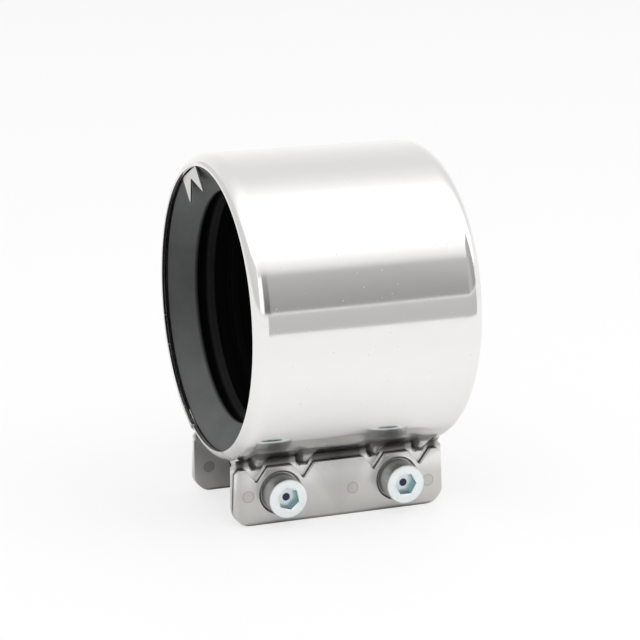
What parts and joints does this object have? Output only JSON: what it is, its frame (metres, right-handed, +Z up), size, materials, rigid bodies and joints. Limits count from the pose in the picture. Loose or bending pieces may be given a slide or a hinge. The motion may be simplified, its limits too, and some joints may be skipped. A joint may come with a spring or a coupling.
{
  "type": "no hub pipe coupling",
  "caption": "Stainless band bent into a C round a ribbed rubber sleeve, with folded lugs drawn together by socket screws, joining plain pipe ends.",
  "frame": {"origin": "on the surface that the folds of the two lugs rest on, midway between the lugs and midway along the coupling", "axes": "+X along the pipe, +Y from the screw heads to the nuts, +Z up from the lugs through the pipe's axis"},
  "size_m": [0.059, 0.077, 0.0907],
  "materials": {
    "polished_band": "polished stainless steel outside, satin on the folded lugs",
    "plain_plate": "plain stainless steel sheet",
    "sleeve_rubber": "black moulded rubber",
    "zinc_plate": "bright zinc plated steel"
  },
  "bodies": {
    "coupling": {"band_shell": "polished_band", "gap_bridge_plate": "plain_plate", "sealing_sleeve": "sleeve_rubber", "contact_strip": "plain_plate", "nut_left": "zinc_plate", "nut_right": "zinc_plate"},
    "left_screw": {"screw_left": "zinc_plate"},
    "right_screw": {"screw_right": "zinc_plate"}
  },
  "joints": [
    {"name": "left_screw_turn", "type": "hinge", "parent": "coupling", "child": "left_screw", "pos_m": [-0.01565, 0, 0.008], "axis": [0, -1, 0], "continuous": true},
    {"name": "right_screw_turn", "type": "hinge", "parent": "coupling", "child": "right_screw", "pos_m": [0.01565, 0, 0.008], "axis": [0, -1, 0], "continuous": true}
  ]
}
